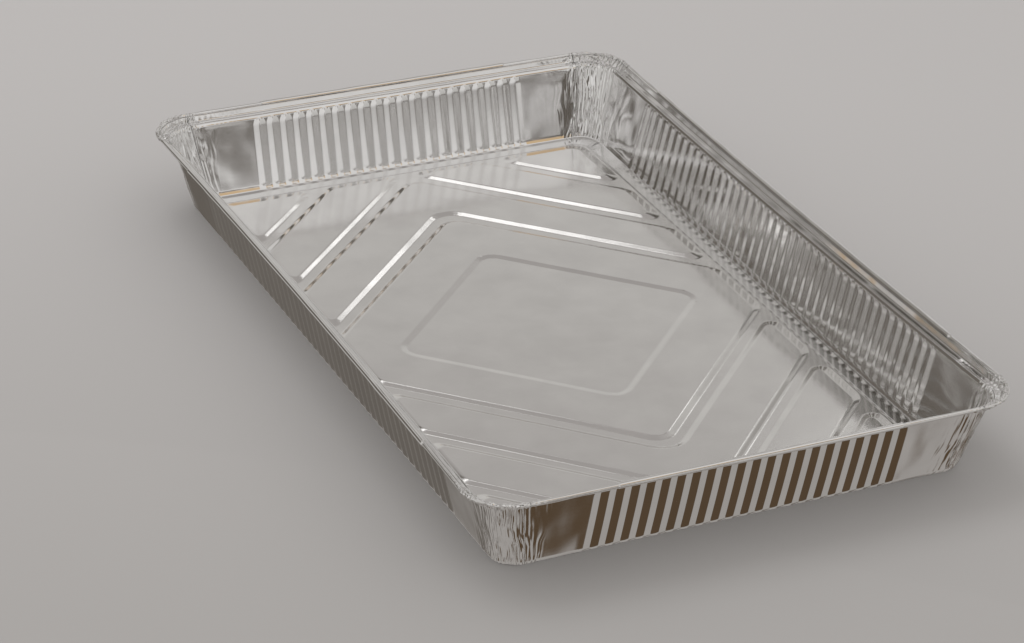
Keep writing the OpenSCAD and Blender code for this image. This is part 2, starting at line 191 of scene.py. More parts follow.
class TinStudio(bpy.types.PropertyGroup):
    """The camera, the pale floor and the soft lights."""

    aim: FloatVectorProperty(
        name="Aim", description="Point at the middle of the picture", default=(-0.00846, -0.01178, 0.0),
        unit="LENGTH", subtype="XYZ", precision=5,
    )
    camera_distance: distance("Camera distance", "From the aim to the camera", 1.24114)
    bearing: camera_turn("Bearing", "Camera's bearing from the front of the tin", -25.187)
    elevation: camera_turn("Elevation", "Camera's height as an angle", 27.604)
    roll: camera_turn("Roll", "Turn of the camera about its view", 1.532)
    lens: FloatProperty(name="Lens", description="Focal length", default=119.31, min=1.0, unit="CAMERA")
    floor: colour("Floor", "Colour of the floor", (0.53, 0.52, 0.522))
    # Painted shade: the floor is painted darker towards the camera.
    near_floor_shade: colour("Near floor", "Colour of the floor towards the camera", (0.42, 0.41, 0.405))
    backdrop: colour("Backdrop", "Colour of the pale backdrop that the foil mirrors", (0.545, 0.53, 0.512))
    upper: colour("Upper", "Colour of the room above the backdrop", (0.375, 0.356, 0.344))
    bright: colour("Bright", "Colour of the bright wall behind the camera", (0.735, 0.72, 0.71))
    shade: colour("Shade", "Colour of the dim side of the room", (0.14, 0.125, 0.11))
    dark: colour("Dark", "Colour of the unlit places", (0.13, 0.115, 0.10))
    dim: colour("Dim", "Colour of the room above the dim side", (0.08, 0.072, 0.062))
    warm: colour("Warm", "Colour of the warm wall to the right of the camera", (0.62, 0.45, 0.27))
    brown: colour("Brown", "Colour of the furniture below the warm wall", (0.24, 0.21, 0.18))
    under: colour("Under", "Colour of the floor in the tin's own shade", (0.36, 0.34, 0.322))
    # Painted shade: the dark floor that the front wall mirrors stands in for the shaded floor in front of the
    # tin.
    bronze_shade: colour("Bronze", "Colour of the dark floor that the front wall mirrors", (0.09, 0.06, 0.036))


# Numbers and noise


def smooth_step(low, high, value):
    """0 below low, 1 above high, and a soft rise between them."""
    rise = np.clip((value - low) / (high - low), 0.0, 1.0)
    return rise * rise * (3.0 - 2.0 * rise)


def lattice(x, y, seed):
    """Each spot's place in its cell of a square lattice, and the random values at the cell's corners."""
    table = np.random.default_rng(seed).uniform(-1.0, 1.0, (LATTICE, LATTICE))
    cell_x, cell_y = np.floor(x).astype(int), np.floor(y).astype(int)
    values = [
        table[(cell_x + right) % LATTICE, (cell_y + up) % LATTICE]
        for right, up in ((0, 0), (1, 0), (0, 1), (1, 1))
    ]
    return x - cell_x, y - cell_y, values


def soft_noise(x, y, seed):
    """Smooth noise from -1 to 1, with bumps about one unit apart."""
    part_x, part_y, (here, side, above, far) = lattice(x, y, seed)
    part_x, part_y = (part ** 3 * (part * (part * 6 - 15) + 10) for part in (part_x, part_y))
    left = here * (1 - part_y) + above * part_y
    right = side * (1 - part_y) + far * part_y
    return left * (1 - part_x) + right * part_x


def crease_noise(x, y, seed):
    """Noise made of flat triangles that meet in sharp creases, as in crumpled foil."""
    skew = (x + y) * (math.sqrt(3.0) - 1.0) / 2.0
    part_x, part_y, (here, side, above, far) = lattice(x + skew, y + skew, seed)
    low = here + (side - here) * part_x + (far - side) * part_y
    high = here + (above - here) * part_y + (far - above) * part_x
    return np.where(part_x > part_y, low, high)


def pleat_line(place, span, spacing, seed):
    """Up and down folds along a line, with uneven spacing and height, from -1 to 1."""
    dice = np.random.default_rng(seed)
    count = int(2 * span / (spacing * 0.5)) + 4
    knots = np.cumsum(dice.uniform(0.25, 0.75, count)) * spacing
    knots += -span - knots[0]
    turns = np.where(np.arange(count) % 2 == 0, 1.0, -1.0) * dice.uniform(0.25, 1.0, count)
    return np.interp(place, knots, turns)


# The pressed sheet


def soften(path, spacing):
    """Dense rows along a path of [inset, height, corner radius, softness] points, with its bends rounded."""
    rows = [path[0][:3]]
    for before, here, after in zip(path[:-2], path[1:-1], path[2:]):
        back, on = before[:3] - here[:3], after[:3] - here[:3]
        start = here[:3] + back * here[3] / np.linalg.norm(back[:2])
        end = here[:3] + on * here[3] / np.linalg.norm(on[:2])
        rows += straight(rows[-1], start, spacing)
        steps = max(6, int(2 * here[3] / spacing))
        for step in range(1, steps + 1):
            part = step / steps
            rows.append(start * (1 - part) ** 2 + here[:3] * 2 * part * (1 - part) + end * part ** 2)
    rows += straight(rows[-1], path[-1][:3], spacing)
    return np.array(rows)


def straight(start, end, spacing):
    """Points from start to end, without the first."""
    count = max(1, int(math.ceil(np.linalg.norm((end - start)[:2]) / spacing)))
    return [start + (end - start) * step / count for step in range(1, count + 1)]


class Sheet:
    """The band of foil round the tin, as a grid of rows down the wall and columns round it."""

    def __init__(self, shape, wear):
        self.shape = shape
        self.wear = wear
        self.half_length = shape.length / 2
        self.half_width = shape.width / 2
        self.bead_z = shape.height - shape.bead
        self.collar_inset = 2 * shape.bead
        self.ledge_z = self.bead_z - shape.collar_height
        self.ledge_outer = self.collar_inset + shape.collar_lean + shape.collar_fold
        self.ledge_inner = self.ledge_outer + shape.ledge_width
        self.shoulder_inset = self.ledge_inner + shape.shoulder_run
        self.shoulder_z = self.ledge_z - shape.shoulder_drop
        self.wall_foot = self.shoulder_inset + shape.wall_lean
        self.foot_outer = self.wall_foot + shape.fold_run
        self.foot_inner = self.foot_outer + shape.foot_width
        self.floor_inset = self.foot_inner + shape.floor_slope
        self.floor_z = shape.foil + shape.floor_rise
        self.segments = self.layout()
        self.columns = sum(len(s["mark"]) for s in self.segments)
        self.perimeter, self.from_corner, self.corner_of, self.girth = self.measure()
        # 1 on the short sides, 0 on the long ones, and from one to the other round the corners
        self.on_short = np.concatenate([
            np.abs((s["k"] + 1) % 2 - s["mark"] * (not s["side"])) for s in self.segments
        ])
        # 1 where a side has flutes, 0 on its plain ends and in the corners
        self.in_flutes = np.concatenate([
            (1.0 - smooth_step(0.97, 1.15, np.abs(s["mark"]))) * s["side"] for s in self.segments
        ])

    def path(self):
        """The bends of the band's inner face, from the rolled edge to the floor."""
        shape = self.shape
        rim, foot, floor = shape.rim_corner, shape.foot_corner, shape.floor_corner
        fold = shape.collar_fold
        bends = [
            (self.collar_inset, self.bead_z, rim - self.collar_inset, 0),
            (self.ledge_outer - fold / 2, self.ledge_z, rim - self.ledge_outer, 0.6 * MM),
            (self.ledge_inner, self.ledge_z, rim - self.ledge_inner, 0.3 * MM),
            (self.shoulder_inset, self.shoulder_z, rim - self.shoulder_inset, 0.4 * MM),
            (self.wall_foot, shape.fold_height, foot, 0.5 * MM),
            (self.foot_outer, shape.foil, foot - shape.fold_run / 2, 0.5 * MM),
            (self.foot_inner, shape.foil, floor + shape.floor_slope, 0.5 * MM),
            (self.floor_inset - 0.35 * MM, self.floor_z, floor + 0.35 * MM, 0.25 * MM),
            (self.floor_inset, self.floor_z, floor, 0),
        ]
        return [np.array(bend, float) for bend in bends]

    def layout(self):
        """The columns of each side and corner, anticlockwise from the front side."""
        shape = self.shape
        segments = []
        for k in range(4):
            half, reach, plain = self.half_width, self.half_length, shape.short_plain
            if k % 2:
                half, reach, plain = reach, half, shape.long_plain
            flutes = int((2 * half - 2 * plain) / shape.flute_pitch)
            edge = flutes * shape.flute_pitch / 2
            stretch = int((half - shape.rim_corner - edge) / PLAIN_CELL)
            cuts = (np.arange(flutes)[:, None] + np.array(FLUTE_CUTS)).ravel()
            marks = np.concatenate([
                -1 - np.linspace(1, 0, stretch, endpoint=False),
                2 * np.append(cuts, flutes) / flutes - 1,
                1 + np.linspace(0, 1, stretch + 1)[1:],
            ])
            segments.append(dict(side=True, k=k, mark=marks[:-1], half=half, reach=reach, edge=edge))
            arc = int(shape.rim_corner * math.pi / 2 / CORNER_CELL)
            turn = np.linspace(0, 1, arc, endpoint=False)
            segments.append(dict(side=False, k=k, mark=turn, half=half, reach=reach, edge=edge))
        return segments

    def along(self, segment, middle):
        """Place of each column of a side, measured from the middle of the side. middle is inset + radius."""
        mark, edge = segment["mark"], segment["edge"]
        stop = segment["half"] - middle
        outer = edge + (np.abs(mark) - 1) * (stop[:, None] - edge)
        return np.where(np.abs(mark) <= 1, mark * edge, np.sign(mark) * outer)

    def measure(self):
        """Place round the rim, way from the nearest corner, that corner, and the rim's length."""
        rim = self.shape.rim_corner
        place, middles, start = [], [], 0.0
        for segment in self.segments:
            half = segment["half"] - rim
            if segment["side"]:
                place.append(start + half + self.along(segment, np.array([rim]))[0])
                start += 2 * half
            else:
                place.append(start + rim * segment["mark"] * math.pi / 2)
                middles.append(start + rim * math.pi / 4)
                start += rim * math.pi / 2
        place = np.concatenate(place)
        gap = (place[:, None] - np.array(middles) + start / 2) % start - start / 2
        nearest = np.abs(gap).argmin(1)
        return place, gap[np.arange(len(place)), nearest], nearest, start

    def round_noise(self, w, length, height, layer, noise=soft_noise):
        """Noise that meets itself where the band closes. The size of its bumps is in millimetres."""
        s, up = self.perimeter[None, :], w / (height * MM)
        cell, seed = length * MM, self.wear.seed + layer
        found = noise(s / cell, up, seed)
        last = self.perimeter > self.girth - CLOSING
        part = smooth_step(self.girth - CLOSING, self.girth, s[:, last])
        found[:, last] += part * (noise((s[:, last] - self.girth) / cell, up, seed) - found[:, last])
        return found

    def place(self, inset, height, radius, inward, rise):
        """Points of the grid. inward and rise move each point in from the profile, and up from it."""
        middle = inset + radius
        blocks, column = [], 0
        for segment in self.segments:
            count = len(segment["mark"])
            span = slice(column, column + count)
            column += count
            turn = math.pi / 2 * segment["k"]
            out = np.array([math.cos(turn), math.sin(turn)])
            along = np.array([-math.sin(turn), math.cos(turn)])
            if segment["side"]:
                off = segment["reach"] - inset[:, None] - inward[:, span]
                beside = self.along(segment, middle)
            else:
                angle = segment["mark"] * math.pi / 2
                r = radius[:, None] - inward[:, span]
                off = segment["reach"] - middle[:, None] + r * np.cos(angle)
                beside = segment["half"] - middle[:, None] + r * np.sin(angle)
            flat = off[..., None] * out + beside[..., None] * along
            blocks.append(np.concatenate([flat, (height[:, None] + rise[:, span])[..., None]], -1))
        return self.bowed(np.concatenate(blocks, 1))

    def bowed(self, points):
        """Draws the long sides inwards, most at mid length and at the top."""
        lift = np.clip((points[..., 2] - self.floor_z) / (self.ledge_z - self.floor_z), 0.0, 1.0)
        middle = 1.0 - (points[..., 0] / self.half_length) ** 2
        edge = smooth_step(0.6, 1.0, np.abs(points[..., 1]) / self.half_width)
        points[..., 1] -= np.sign(points[..., 1]) * self.wear.side_bow * middle * lift * edge
        return points

    def flute_height(self, rows, travel):
        """How far the flutes stand in from the wall, from 0 to 1, at each row and column."""
        shape = self.shape
        start = self.travel_at(rows, travel, self.shoulder_z)
        foot = self.travel_at(rows, travel, shape.fold_height)
        fold_end = foot + shape.fold_run + 0.8 * MM
        sharpness = 0.985
        tip = np.sqrt(1.0 - (1.0 - np.clip((travel - start) / shape.flute_tip, 0.0, 1.0)) ** 2)
        # Lower in the fold, faint past it, and gone before the foot's inner side
        low = 1.0 - 0.55 * np.exp(-(((travel - foot - 0.6 * MM) / (0.7 * MM)) ** 2))
        low *= 1.0 - smooth_step(fold_end + 1.4 * MM, fold_end + 3.2 * MM, travel)
        body = (1.0 - 0.88 * smooth_step(fold_end - 0.8 * MM, fold_end, travel)) * low
        waves = []
        for segment in self.segments:
            turns = segment["mark"] * segment["edge"] / shape.flute_pitch
            crest = 0.5 + np.arcsin(sharpness * np.cos(2 * math.pi * turns)) / (2 * math.asin(sharpness))
            crest = np.where(segment["side"] & (np.abs(segment["mark"]) <= 1), crest, 0.0)
            waves.append(np.maximum(crest[None, :] - (1.0 - tip[:, None]), 0.0) * body[:, None])
        return np.concatenate(waves, 1)

    @staticmethod
    def travel_at(rows, travel, height):
        """Distance along the profile at which the wall passes a height. The collar's rows are left out."""
        collar_rows = 8
        wall = (rows[:, 1] > 0.5 * MM) & (np.arange(len(rows)) > collar_rows)
        return np.interp(-height, -rows[wall, 1], travel[wall])

    def rim_crinkle(self, travel):
        """Crinkles round the rim's corners, from -1 to 1, at each row and column. travel is 0 at the roll."""
        wear = self.wear
        u, w = self.from_corner[None, :], travel[:, None]
        near = 1.0 - smooth_step(11 * MM, 21 * MM, np.abs(u))
        loose = 0.22 * (1.0 - smooth_step(18 * MM, 45 * MM, np.abs(u)))
        wander = 0.7 * MM * self.round_noise(w, 3, 1.8, 1)
        ridges = np.zeros((len(travel), self.columns))
        for corner in range(4):
            mine = self.corner_of == corner
            place = (u + wander)[:, mine]
            ridges[:, mine] = pleat_line(place, 60 * MM, wear.rim_ridge, wear.seed + 20 + corner)
        facets = self.round_noise(w, 1.9, 1.3, 2, crease_noise)
        broad = self.round_noise(w, 6, 3, 3)
        return near * (0.6 * ridges + 0.7 * facets) + loose * (0.5 * ridges * np.abs(broad) + broad)

    def rim_waves(self):
        """Soft waves along the rim, from -1 to 1, at each column."""
        return self.round_noise(np.zeros((1, 1)), 9, 1, 10)

    def wall_crinkle(self, travel):
        """Upright pleats in the wall corners and soft waves beside them, in metres."""
        wear = self.wear
        u, w = self.from_corner[None, :], travel[:, None]
        down = (w - travel[0]) / (travel[-1] - travel[0])
        wander = 1.6 * MM * self.round_noise(w, 7, 9, 4)
        ragged = 3 * MM * self.round_noise(w, 5, 8, 5)
        near = 1.0 - smooth_step(9 * MM, 24 * MM, np.abs(u) + ragged)
        pleats = np.zeros((len(travel), self.columns))
        for corner in range(4):
            mine = self.corner_of == corner
            place = (u + wander)[:, mine]
            coarse = pleat_line(place, 60 * MM, wear.pleat_width, wear.seed + 40 + corner)
            spread = place * (1.0 + 0.1 * down)
            fine = pleat_line(spread, 70 * MM, 0.45 * wear.pleat_width, wear.seed + 50 + corner)
            pleats[:, mine] = 0.7 * coarse + 0.4 * fine
        patches = 0.55 + 0.45 * self.round_noise(w, 4, 6, 6)
        facets = self.round_noise(w, 2.2, 4.5, 7, crease_noise)
        waves = self.round_noise(w, 13, 11, 8)
        waves += 0.4 * self.round_noise(w, 6, 7, 9)
        height = near * wear.pleat_depth * (pleats * patches + 0.35 * facets)
        calm = 1.0 - 0.9 * self.in_flutes[None, :]
        rise, fall = smooth_step(0.03, 0.2, down), 1.0 - smooth_step(0.75, 0.95, down)
        height += calm * wear.wall_wave * waves * rise * fall
        return height * (1.0 - smooth_step(0.86, 0.99, down))

    def band(self):
        """Points and normals of the band's inner face, and the row where the ledge's piece ends."""
        shape, wear = self.shape, self.wear
        rows = soften(self.path(), CELL)
        steps = np.diff(rows[:, :2], axis=0)
        travel = np.concatenate([[0.0], np.cumsum(np.linalg.norm(steps, axis=1))])
        tangent = np.gradient(rows[:, :2], axis=0)
        tangent /= np.linalg.norm(tangent, axis=1)[:, None]
        ledge_row = int(np.abs(rows[:, 0] - (self.ledge_inner - 0.35 * MM)).argmin())
        ledge_travel = travel[ledge_row]
        rim = self.rim_crinkle(travel)
        fade = 1.0 - smooth_step(ledge_travel, ledge_travel + 3 * MM, travel)[:, None]
        height = wear.rim_crinkle * rim * fade + wear.rim_wave * self.rim_waves() * fade
        below = smooth_step(ledge_travel - 0.5 * MM, ledge_travel + 4 * MM, travel)[:, None]
        height = height + self.wall_crinkle(travel) * below
        top = self.travel_at(rows, travel, self.shoulder_z)
        part = np.clip((travel - top) / (self.travel_at(rows, travel, shape.fold_height) - top), 0.0, 1.0)
        height -= wear.wall_hollow * (4 * part * (1 - part))[:, None] * self.on_short[None, :]
        height = height + shape.flute_depth * self.flute_height(rows, travel)
        inward, rise = -tangent[:, 1], tangent[:, 0]
        points = self.place(*rows.T, inward[:, None] * height, rise[:, None] * height)
        return points, grid_normals(points), ledge_row

    def roll(self):
        """Points and normals of the outer face of the rolled edge."""
        shape, wear = self.shape, self.wear
        curl_degrees, curl_rows, curl_share = 325.0, 30, 0.62
        angle = np.radians(np.linspace(curl_degrees, 0.0, curl_rows))
        travel = -angle * shape.bead
        crinkle, along = self.rim_crinkle(travel), self.rim_waves()
        crinkled = np.abs(np.sign(crinkle))
        # Crinkles dent the roll inwards, within its size
        height = wear.rim_crinkle * (crinkle - 1.0) * curl_share * crinkled + wear.rim_wave * (along - 1)
        blend = smooth_step(0.0, 0.5, angle)[:, None]
        meet = wear.rim_crinkle * crinkle + wear.rim_wave * along
        height = meet * (1 - blend) + height * blend
        inset = shape.bead + shape.bead * np.cos(angle)
        middle_z = self.bead_z + shape.bead * np.sin(angle)
        inward, rise = height * np.cos(angle)[:, None], height * np.sin(angle)[:, None]
        points = self.place(inset, middle_z, shape.rim_corner - inset, inward, rise)
        return points, grid_normals(points)

    def spans(self):
        """Columns of each side and corner, with the next one's first, by name."""
        found, column = {}, 0
        for segment in self.segments:
            count = len(segment["mark"])
            names = SIDES if segment["side"] else CORNERS
            found[names[segment["k"]]] = np.arange(column, column + count + 1) % self.columns
            column += count
        return found


def grid_normals(points):
    """Unit normals of a grid that meets itself along its columns."""
    across = np.roll(points, -1, axis=1) - np.roll(points, 1, axis=1)
    normal = np.cross(across, np.gradient(points, axis=0))
    return normal / np.maximum(np.linalg.norm(normal, axis=-1, keepdims=True), 1e-12)


# The embossed base


def bend_at(points, index):
    """Unit vectors along the edges before and after a corner of an outline, and the sine of the turn."""
    before = points[index] - points[index - 1]
    after = points[(index + 1) % len(points)] - points[index]
    first, second = before / np.linalg.norm(before), after / np.linalg.norm(after)
    return first, second, first[0] * second[1] - first[1] * second[0]


def inset_outline(points, insets):
    """Corners of an outline after each edge moves in by its own distance."""
    moved = []
    for index, point in enumerate(points):
        first, second, turn = bend_at(points, index)
        moved.append(point - (first * insets[index] - second * insets[index - 1]) / turn)
    return np.array(moved)


def rounded_outline(points, radii, steps=8):
    """The outline with its corners rounded."""
    rounded = []
    for index, point in enumerate(points):
        first, second, turn = bend_at(points, index)
        sweep = math.copysign(math.acos(float(first @ second)), turn)
        centre = point + radii[index] * (second - first) / abs(turn)
        arm = -np.array([-first[1], first[0]]) * radii[index] * math.copysign(1.0, turn)
        for step in range(steps + 1):
            angle = sweep * step / steps
            swing = np.array([
                arm[0] * math.cos(angle) - arm[1] * math.sin(angle),
                arm[0] * math.sin(angle) + arm[1] * math.cos(angle),
            ])
            rounded.append(centre + swing)
    return np.array(rounded)


def top_radii(points, radii, slope):
    """Corner radii at the top of a slope."""
    tops = []
    for index, radius in enumerate(radii):
        turn = bend_at(points, index)[2]
        tops.append(max(radius - slope, radius / 3) if turn > 0 else radius + slope)
    return tops


def signed_distance(spots, outline):
    """Distance from each spot to an outline, positive inside it."""
    nearest = np.full(len(spots), np.inf)
    inside = np.zeros(len(spots), bool)
    for start, end in zip(outline, np.roll(outline, -1, axis=0)):
        edge = end - start
        length = edge @ edge
        if length < 1e-14:
            continue
        away = spots - start
        part = np.clip(away @ edge / length, 0.0, 1.0)
        gap = away - part[:, None] * edge
        nearest = np.minimum(nearest, (gap * gap).sum(1))
        if start[1] != end[1]:
            crosses = (start[1] > spots[:, 1]) != (end[1] > spots[:, 1])
            at = start[0] + (spots[:, 1] - start[1]) * edge[0] / edge[1]
            inside ^= crosses & (spots[:, 0] < at)
    return np.where(inside, 1.0, -1.0) * np.sqrt(nearest)


def ramp(climb, bend=0.07):
    """0 below -bend, climb itself above bend, and a curve that joins them."""
    return np.clip(climb + bend, 0.0, 2 * bend) ** 2 / (4 * bend) + np.maximum(climb - bend, 0.0)


class Panels:
    """The raised panels of the base, which diagonal channels divide."""

    def __init__(self, sheet):
        shape = self.shape = sheet.shape
        x = sheet.half_length - sheet.floor_inset - shape.panel_margin
        y = sheet.half_width - sheet.floor_inset - shape.panel_margin
        third = x - shape.point_margin
        second = third - shape.channel_pitch
        first = second - shape.channel_pitch
        fourth = third + shape.channel_pitch
        half = shape.channel_floor / math.sqrt(2)
        slope, edge = shape.channel_slope, shape.edge_slope
        blunt, point, tip = shape.blunt_round, shape.point_round, shape.tip_round
        middle = second - half
        self.middle = self.panel(
            [(middle - y, -y), (middle, 0), (middle - y, y), (y - middle, y), (-middle, 0), (y - middle, -y)],
            [slope, slope, edge] * 2, [blunt, point, blunt] * 2,
        )
        sunk = first - slope / math.sqrt(2)
        diamond = np.array([(0, -sunk), (sunk, 0), (0, sunk), (-sunk, 0)])
        self.sunk_low = rounded_outline(diamond, [point - slope] * 4)
        self.sunk_high = rounded_outline(inset_outline(diamond, [-slope] * 4), [point] * 4)
        outer, inner = third - half, second + half
        self.chevron = self.panel(
            [(outer - y, -y), (outer, 0), (outer - y, y), (inner - y, y), (inner, 0), (inner - y, -y)],
            [slope, slope, edge] * 2, [blunt, point, blunt, tip, point, tip],
        )
        inner, outer = third + half, fourth - half
        self.strip = self.panel(
            [(x, inner - x), (x, outer - x), (outer - y, y), (inner - y, y)],
            [edge, slope] * 2, [tip, blunt, blunt, tip],
        )
        inner = fourth + half
        self.corner = self.panel(
            [(x, inner - x), (x, y), (inner - y, y)], [edge, edge, slope], [tip, shape.corner_round, tip]
        )

    def panel(self, corners, slopes, radii):
        """Outlines of a panel at the floor and at its top."""
        corners = np.array(corners)
        tops = top_radii(corners, radii, self.shape.channel_slope)
        top = rounded_outline(inset_outline(corners, slopes), tops)
        return rounded_outline(corners, radii), top

    @staticmethod
    def climb(spots, low, high):
        """0 at the foot of a slope and 1 at its top. Spots well outside both outlines get -1."""
        margin = 1.0 * MM
        corners = np.concatenate([low, high])
        near = ((spots > corners.min(0) - margin) & (spots < corners.max(0) + margin)).all(1)
        below, above = signed_distance(spots[near], low), signed_distance(spots[near], high)
        found = np.full(len(spots), -1.0)
        found[near] = below / np.maximum(below - above, 1e-6)
        return found

    def height(self, spots):
        """Height above the floor at each spot of the base."""
        folded_x = np.abs(spots) * (1, 0) + spots * (0, 1)
        folded = np.abs(spots)
        climb = self.climb(folded, *self.middle)
        sunk = np.clip(self.climb(folded, self.sunk_high, self.sunk_low), -1.0, 1.0)
        sunk = 1.0 - self.shape.sunk_share * sunk
        climb = np.minimum(climb, np.where(sunk < 1.0, sunk, climb))
        for panel, where in ((self.chevron, folded_x), (self.strip, folded), (self.corner, folded)):
            climb = np.maximum(climb, self.climb(where, *panel))
        return self.shape.panel_rise * (ramp(climb) - ramp(climb - 1))


def base_grid(sheet):
    """Points and normals of the base's upper face, in rows across its rounded outline."""
    shape, wear = sheet.shape, sheet.wear
    reach_x = sheet.half_length - sheet.floor_inset
    reach_y = sheet.half_width - sheet.floor_inset
    corner = shape.floor_corner
    corner_rows = 16
    straight_rows = np.linspace(0, reach_y - corner, int((reach_y - corner) / CELL) + 1)
    turned = reach_y - corner + corner * np.sin(np.linspace(0, math.pi / 2, corner_rows))[1:]
    half_rows = np.concatenate([straight_rows, turned])
    rows = np.concatenate([-half_rows[:0:-1], half_rows])
    past = np.maximum(np.abs(rows) - (reach_y - corner), 0.0)
    ends = reach_x - corner + np.sqrt(np.maximum(corner ** 2 - past ** 2, 0.0))
    across = np.linspace(-1.0, 1.0, 2 * int(reach_x / CELL) + 1)
    x = ends[:, None] * across
    y = np.repeat(rows[:, None], len(across), axis=1)

    panels = Panels(sheet)

    def level(x, y):
        edge = np.minimum(reach_x - np.abs(x), reach_y - np.abs(y))
        swell = soft_noise(x / (31 * MM), y / (27 * MM), wear.seed + 11)
        swell += 0.35 * soft_noise(x / (11 * MM), y / (13 * MM), wear.seed + 12)
        spots = np.stack([x.ravel(), y.ravel()], -1)
        wave = wear.base_wave * swell * smooth_step(0.0, 6 * MM, edge)
        return sheet.floor_z + panels.height(spots).reshape(x.shape) + wave

    z = level(x, y)
    nudge = 0.03 * MM
    slope_x = (level(x + nudge, y) - z) / nudge
    slope_y = (level(x, y + nudge) - z) / nudge
    normals = np.stack([-slope_x, -slope_y, np.ones_like(z)], -1)
    return np.stack([x, y, z], -1), normals / np.linalg.norm(normals, axis=-1, keepdims=True)


# Meshes


def add_piece(name, node, material, points, normals, thickness):
    """A sheet with a thickness, from a grid of points on its upper face, in place of a node."""
    rows, columns = points.shape[:2]
    count = rows * columns
    places = np.concatenate([points.reshape(-1, 3), (points - normals * thickness).reshape(-1, 3)])
    places = np.clip(places, CAD_BOX[0], CAD_BOX[1])
    index = np.arange(count).reshape(rows, columns)
    upper = np.stack([index[:-1, :-1], index[:-1, 1:], index[1:, 1:], index[1:, :-1]], -1).reshape(-1, 4)
    edge = np.concatenate([index[0, :-1], index[:-1, -1], index[-1, :0:-1], index[:0:-1, 0]])
    following = np.roll(edge, -1)
    rim = np.stack([following, edge, edge + count, following + count], -1)
    faces = np.concatenate([upper, upper[:, ::-1] + count, rim])
    flat = normals.reshape(-1, 3)
    side = np.cross(places[following] - places[edge], flat[edge])
    side /= np.maximum(np.linalg.norm(side, axis=1, keepdims=True), 1e-12)
    corner_normals = np.concatenate([
        flat[upper].reshape(-1, 3), -flat[upper[:, ::-1]].reshape(-1, 3), np.repeat(side, 4, axis=0),
    ])
    mesh = bpy.data.meshes.new(name)
    mesh.vertices.add(len(places))
    mesh.vertices.foreach_set("co", places.astype(np.float32).ravel())
    mesh.loops.add(faces.size)
    mesh.loops.foreach_set("vertex_index", faces.astype(np.int32).ravel())
    mesh.polygons.add(len(faces))
    mesh.polygons.foreach_set("loop_start", np.arange(0, faces.size, 4, dtype=np.int32))
    mesh.update(calc_edges=True)
    custom = mesh.attributes.new("custom_normal", "FLOAT_VECTOR", "CORNER")
    custom.data.foreach_set("vector", corner_normals.astype(np.float32).ravel())
    mesh.update()
    piece = bpy.data.objects.new(name, mesh)
    bpy.context.scene.collection.objects.link(piece)
    mesh.materials.append(material)
    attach(piece, "root")
    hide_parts(node)


def ring_pieces(sheet, points, normals, thickness, side, corner):
    """Cuts a ring into its sides and corners. side and corner give a title, a node, a slot, which is not
    used, and a material.
    """
    for name, span in sheet.spans().items():
        title, node, slot, material = side if name in SIDES else corner
        add_piece(title + name, node + name, material, points[:, span], normals[:, span], thickness)


# Materials


class Wire:
    """An output of a node, which sums and products extend with Math nodes."""

    def __init__(self, recipe, socket):
        self.recipe = recipe
        self.socket = socket

    def maths(self, operation, first, second):
        return self.recipe.node("ShaderNodeMath", {"operation": operation}, {0: first, 1: second})

    def __add__(self, other):
        return self.maths("ADD", self, other)

    __radd__ = __add__

    def __sub__(self, other):
        return self.maths("SUBTRACT", self, other)

    def __rsub__(self, other):
        return self.maths("SUBTRACT", other, self)

    def __mul__(self, other):
        return self.maths("MULTIPLY", self, other)

    __rmul__ = __mul__


class Recipe:
    """A node tree, filled one node at a time."""

    def __init__(self, owner):
        owner.use_nodes = True
        self.tree = owner.node_tree
        self.tree.nodes.clear()

    def node(self, kind, settings=None, sockets=None, output=0):
        """Adds a node, with its settings first and then its sockets' values or links."""
        made = self.tree.nodes.new(kind)
        for name, value in (settings or {}).items():
            setattr(made, name, value)
        for name, value in (sockets or {}).items():
            if isinstance(value, Wire):
                self.tree.links.new(value.socket, made.inputs[name])
            else:
                made.inputs[name].default_value = value
        return Wire(self, made.outputs[output]) if len(made.outputs) else None

    def mix(self, factor, first, second):
        """A mix of two colours."""
        return self.node("ShaderNodeMix", {"data_type": "RGBA"}, {0: factor, 6: first, 7: second}, 2)

    def noise(self, place, scale, detail, roughness):
        """Noise from 0 to 1 over a surface."""
        return self.node("ShaderNodeTexNoise", None, {
            "Vector": place, "Scale": scale, "Detail": detail, "Roughness": roughness}, "Fac")


def rgba(tint, level=1.0):
    """A colour with its alpha, at a level of brightness."""
    return (tint[0] * level, tint[1] * level, tint[2] * level, 1.0)


def foil_material(name, tint, roughness, finish):
    """Rolled foil: fine grain from the mill, dull patches and light scuffs."""
    material = bpy.data.materials.new(name)
    recipe = Recipe(material)
    per_metre_across, per_metre_along = 2600.0, 90.0
    place = recipe.node("ShaderNodeTexCoord", output="Object")
    lay = recipe.node("ShaderNodeMapping", None, {
        "Vector": place, "Rotation": (0.0, math.radians(45.0), 0.0),
        "Scale": (per_metre_across, per_metre_along, per_metre_along)})
    grain = recipe.noise(lay, 1.0, 2.0, 0.6)
    patches = recipe.noise(place, 60.0, 3.0, 0.55)
    scuffs = recipe.noise(place, 900.0, 2.0, 0.6)
    dull = recipe.node("ShaderNodeMapRange", None, {"Value": patches, "From Min": 0.35, "From Max": 0.7})
    colour_out = recipe.mix(dull, rgba(tint), rgba(tint, 1.0 - finish.shade))
    gloss = roughness + (patches - 0.5) * (2 * finish.patchiness) + (scuffs - 0.5) * finish.patchiness
    height = grain * finish.grain_depth + scuffs * (finish.grain_depth * 0.8)
    bump = recipe.node("ShaderNodeBump", None, {"Height": height, "Strength": 1.0, "Distance": 1.0}, "Normal")
    shader = recipe.node("ShaderNodeBsdfPrincipled", None, {
        "Base Color": colour_out, "Metallic": 1.0, "Roughness": gloss, "Normal": bump})
    recipe.node("ShaderNodeOutputMaterial", None, {"Surface": shader})
    return material


# Operators


def present(context):
    """The scene's present sizes and finish, and the band's grid for them."""
    scene = context.scene
    return scene.tin_shape, scene.tin_finish, Sheet(scene.tin_shape, scene.tin_wear)


